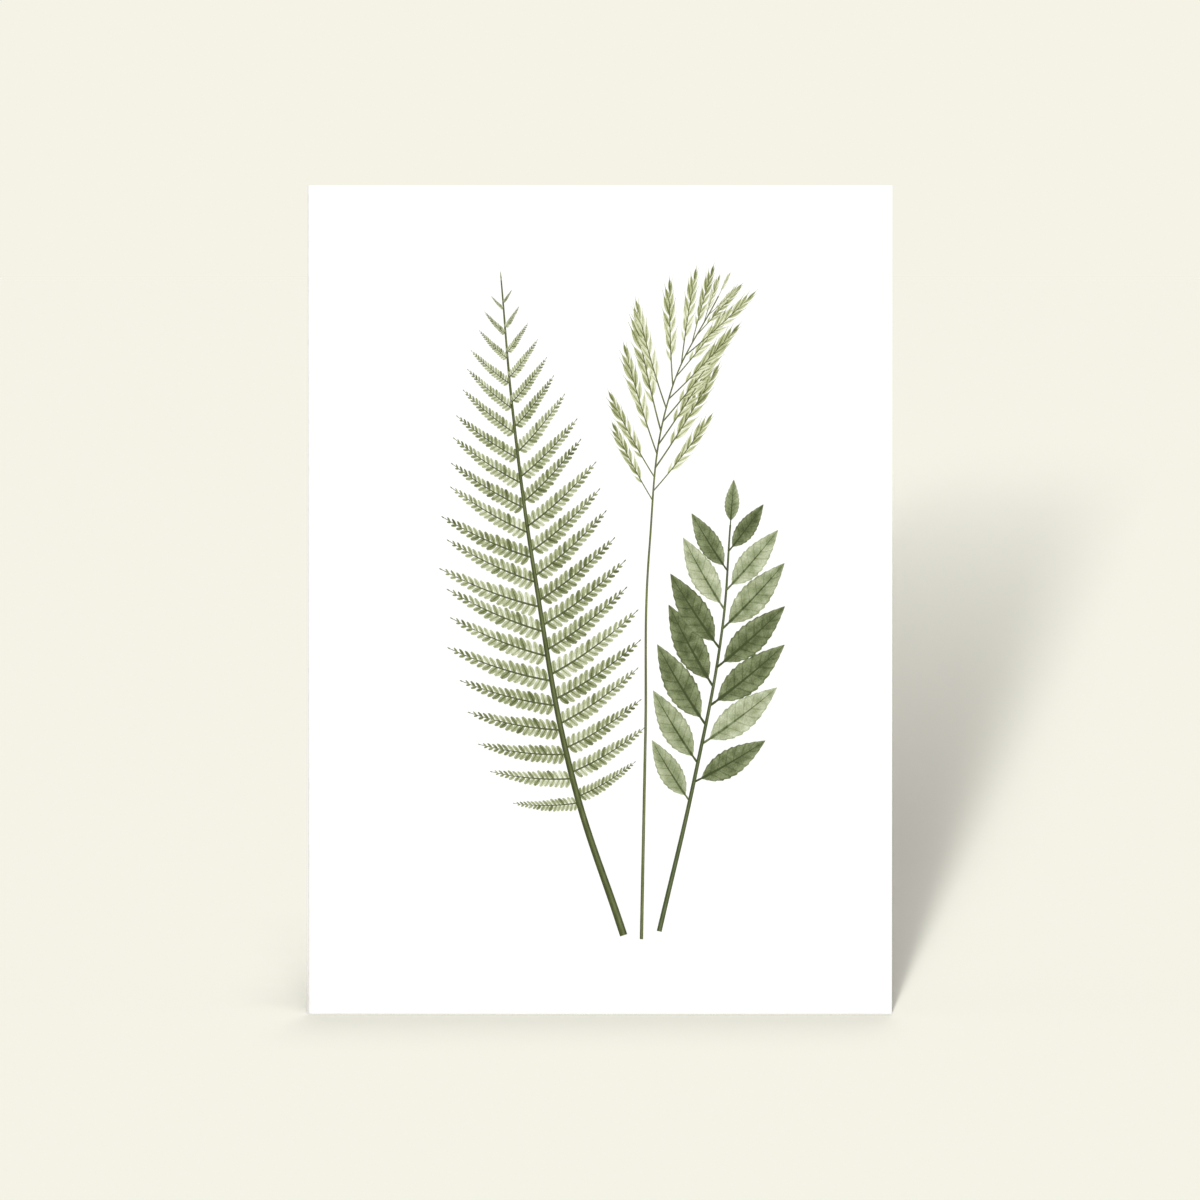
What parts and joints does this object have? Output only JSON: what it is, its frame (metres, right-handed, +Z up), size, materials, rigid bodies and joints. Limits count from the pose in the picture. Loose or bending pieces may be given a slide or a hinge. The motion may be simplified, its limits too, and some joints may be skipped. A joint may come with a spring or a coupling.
{
  "type": "folded greeting card",
  "caption": "Portrait greeting card folded at its left edge, standing part open, with a pressed-plant style print on the front leaf.",
  "frame": {"origin": "on the ground under the middle of the box that holds the standing card", "axes": "+Z up along the fold; the front leaf faces -Y, with the fold at its -X edge and the back leaf behind it, towards +Y"},
  "size_m": [0.148, 0.105, 0.21],
  "materials": {
    "card_stock": "smooth white card with a faint eggshell grain, matt inside",
    "printing_ink": "thin olive to pale sage ink, matt, on the front leaf only"
  },
  "bodies": {
    "front": {"front_leaf": "card_stock"},
    "back": {"back_leaf": "card_stock"}
  },
  "joints": [
    {"name": "fold", "type": "hinge", "parent": "front", "child": "back", "pos_m": [-0.07358, -0.05212, 0], "axis": [0, 0, 1], "range_deg": [-44.5, 135]}
  ]
}
